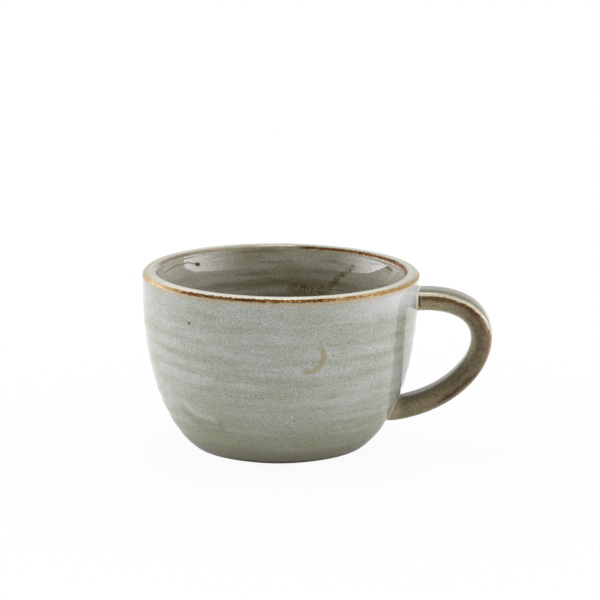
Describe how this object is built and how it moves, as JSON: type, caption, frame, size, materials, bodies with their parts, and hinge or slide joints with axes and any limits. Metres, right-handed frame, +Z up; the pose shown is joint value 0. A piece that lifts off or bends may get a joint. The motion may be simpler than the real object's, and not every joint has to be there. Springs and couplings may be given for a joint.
{
  "type": "coffee cup",
  "caption": "Low, full-bellied stoneware cup with a thick rounded lip, a low foot ring and a strap handle for a finger, glazed inside and out; holds a hot drink.",
  "frame": {"origin": "middle of the whole cup's footprint, handle included, on the table plane under the foot ring; the bowl's axis stands 13.3 mm from it towards -X", "axes": "+Z up out of the cup's mouth, +X towards the handle, +Y to the left of someone looking along +X"},
  "size_m": [0.1268, 0.1, 0.065],
  "materials": {
    "stoneware": "fired buff stoneware, bare and matt",
    "slip": "fired joining slip under thin glaze",
    "outside_glaze": "glossy grey-green glaze with fine brown speckle, breaking brown at edges",
    "inside_glaze": "glossy olive-grey glaze with fine brown speckle",
    "handle_glaze": "glossy olive glaze, thin and brown on the sides of the strap"
  },
  "bodies": {
    "root": {"bowl": "stoneware", "handle": "stoneware", "upper_slip_joint": "slip", "lower_slip_joint": "slip", "outside_glaze": "outside_glaze", "inside_glaze": "inside_glaze", "underside_glaze": "outside_glaze", "handle_glaze": "handle_glaze"}
  },
  "joints": []
}
